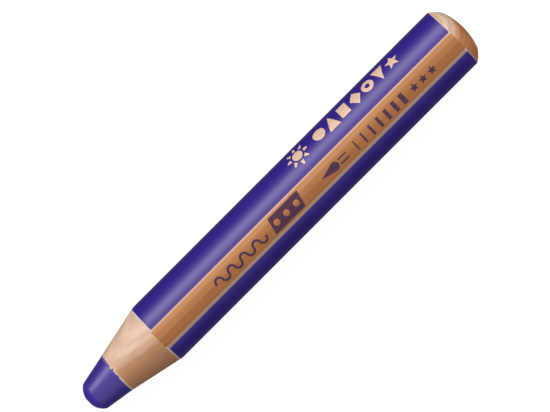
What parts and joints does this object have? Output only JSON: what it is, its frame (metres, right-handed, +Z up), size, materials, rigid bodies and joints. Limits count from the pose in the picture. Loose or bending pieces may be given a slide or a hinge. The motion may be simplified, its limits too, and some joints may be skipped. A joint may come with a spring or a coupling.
{
  "type": "thick wood-cased colour crayon",
  "caption": "Thick round wood-cased crayon with a sharpened colour core, lacquer bands and varnished wood stripes, and a domed wooden rear end.",
  "frame": {"origin": "middle of the crayon's length, on the surface it lies on, straight below its axis", "axes": "+X along the crayon from the tip to the domed rear end, +Z up, with the ink marks on top and the foil marks on the upper +Y side"},
  "size_m": [0.112, 0.015, 0.0149],
  "materials": {
    "core_wax": "moulded wax, satin",
    "casing_wood": "cut, bare",
    "glue": "set wood glue",
    "primer": "thin pale undercoat",
    "lacquer": "satin lacquer",
    "varnished_wood": "clear satin varnish over wood",
    "foil": "hot-stamped pigment foil",
    "ink": "printed"
  },
  "bodies": {
    "root": {"color_core": "core_wax", "upper_slat": "casing_wood", "lower_slat": "casing_wood", "core_glue_sleeve": "glue", "slat_glue_film": "glue", "primer_band_front": "primer", "primer_band_bottom": "primer", "primer_band_back": "primer", "lacquer_band_front": "lacquer", "lacquer_band_bottom": "lacquer", "lacquer_band_back": "lacquer", "varnish_stripe_top": "varnished_wood", "varnish_stripe_front": "varnished_wood", "varnish_stripe_back": "varnished_wood", "varnish_dome": "varnished_wood", "foil_sun": "foil", "foil_shapes": "foil", "ink_wave": "ink", "ink_block": "ink", "ink_brush": "ink", "ink_strokes": "ink", "ink_stars": "ink"}
  },
  "joints": []
}
